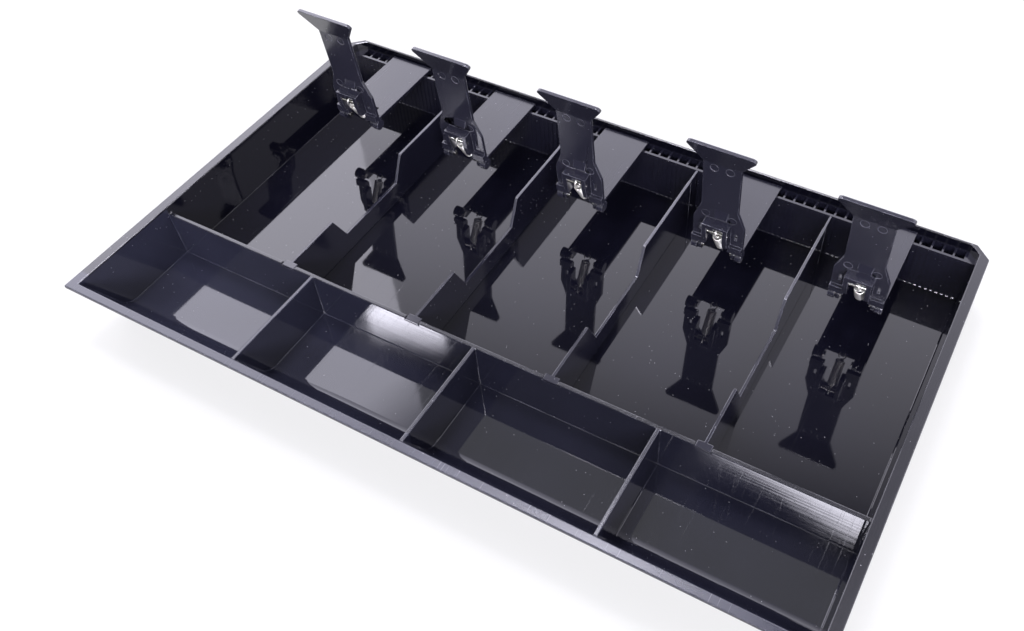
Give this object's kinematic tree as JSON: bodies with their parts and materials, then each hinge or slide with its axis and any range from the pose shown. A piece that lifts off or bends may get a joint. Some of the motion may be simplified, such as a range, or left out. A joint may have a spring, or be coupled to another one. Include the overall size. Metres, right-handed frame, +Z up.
{
  "type": "cash drawer insert",
  "caption": "Black moulded till tray with coin compartments in front, bill compartments behind, slot-in dividers and sprung bill clips on brackets along a slotted back rail.",
  "frame": {"origin": "middle of the underside of the tray", "axes": "+X to the right along the long side, +Y from the coin side to the back rail, +Z up"},
  "size_m": [0.405, 0.243, 0.1034],
  "materials": {
    "tray": "glossy moulded black, lightly scratched",
    "divider": "moulded black with scuffed edges",
    "bracket": "satin moulded black",
    "clip": "satin moulded black",
    "pin": "drawn steel",
    "spring": "bright spring wire"
  },
  "bodies": {
    "base": {"tray_body": "tray", "comb_rail": "tray", "bill_divider_1": "divider", "bill_divider_2": "divider", "bill_divider_3": "divider", "bill_divider_4": "divider", "clip_bracket_1": "bracket", "clip_bracket_2": "bracket", "clip_bracket_3": "bracket", "clip_bracket_4": "bracket", "clip_bracket_5": "bracket", "hinge_pins_1": "pin", "hinge_pins_2": "pin", "hinge_pins_3": "pin", "hinge_pins_4": "pin", "hinge_pins_5": "pin"},
    "clip_1": {"bill_clip_1": "clip", "spring_pin_1": "pin"},
    "spring_1": {"clip_spring_1": "spring"},
    "clip_2": {"bill_clip_2": "clip", "spring_pin_2": "pin"},
    "spring_2": {"clip_spring_2": "spring"},
    "clip_3": {"bill_clip_3": "clip", "spring_pin_3": "pin"},
    "spring_3": {"clip_spring_3": "spring"},
    "clip_4": {"bill_clip_4": "clip", "spring_pin_4": "pin"},
    "spring_4": {"clip_spring_4": "spring"},
    "clip_5": {"bill_clip_5": "clip", "spring_pin_5": "pin"},
    "spring_5": {"clip_spring_5": "spring"}
  },
  "joints": [
    {"name": "clip_hinge_1", "type": "hinge", "parent": "base", "child": "clip_1", "pos_m": [-0.15652, 0.0645, 0.0268], "axis": [1, 0, 0], "range_deg": [0, 97]},
    {"name": "spring_hinge_1", "type": "hinge", "parent": "base", "child": "spring_1", "pos_m": [-0.15532, 0.0685, 0.025], "axis": [1, 0, 0], "range_deg": [-1, 81]},
    {"name": "clip_hinge_2", "type": "hinge", "parent": "base", "child": "clip_2", "pos_m": [-0.08116, 0.0645, 0.0268], "axis": [1, 0, 0], "range_deg": [0, 97]},
    {"name": "spring_hinge_2", "type": "hinge", "parent": "base", "child": "spring_2", "pos_m": [-0.07996, 0.0685, 0.025], "axis": [1, 0, 0], "range_deg": [-1, 81]},
    {"name": "clip_hinge_3", "type": "hinge", "parent": "base", "child": "clip_3", "pos_m": [-0.0058, 0.0645, 0.0268], "axis": [1, 0, 0], "range_deg": [0, 97]},
    {"name": "spring_hinge_3", "type": "hinge", "parent": "base", "child": "spring_3", "pos_m": [-0.0046, 0.0685, 0.025], "axis": [1, 0, 0], "range_deg": [-1, 81]},
    {"name": "clip_hinge_4", "type": "hinge", "parent": "base", "child": "clip_4", "pos_m": [0.07536, 0.0645, 0.0268], "axis": [1, 0, 0], "range_deg": [0, 97]},
    {"name": "spring_hinge_4", "type": "hinge", "parent": "base", "child": "spring_4", "pos_m": [0.07656, 0.0685, 0.025], "axis": [1, 0, 0], "range_deg": [-1, 81]},
    {"name": "clip_hinge_5", "type": "hinge", "parent": "base", "child": "clip_5", "pos_m": [0.15072, 0.0645, 0.0268], "axis": [1, 0, 0], "range_deg": [-2.7, 94.3]},
    {"name": "spring_hinge_5", "type": "hinge", "parent": "base", "child": "spring_5", "pos_m": [0.15192, 0.0685, 0.025], "axis": [1, 0, 0], "range_deg": [-3.5, 81]}
  ],
  "couplings": [
    {"joint": "spring_hinge_1", "follows": "clip_hinge_1", "ratio": 0.8235},
    {"joint": "spring_hinge_2", "follows": "clip_hinge_2", "ratio": 0.8235},
    {"joint": "spring_hinge_3", "follows": "clip_hinge_3", "ratio": 0.8235},
    {"joint": "spring_hinge_4", "follows": "clip_hinge_4", "ratio": 0.8235},
    {"joint": "spring_hinge_5", "follows": "clip_hinge_5", "ratio": 0.8235}
  ]
}
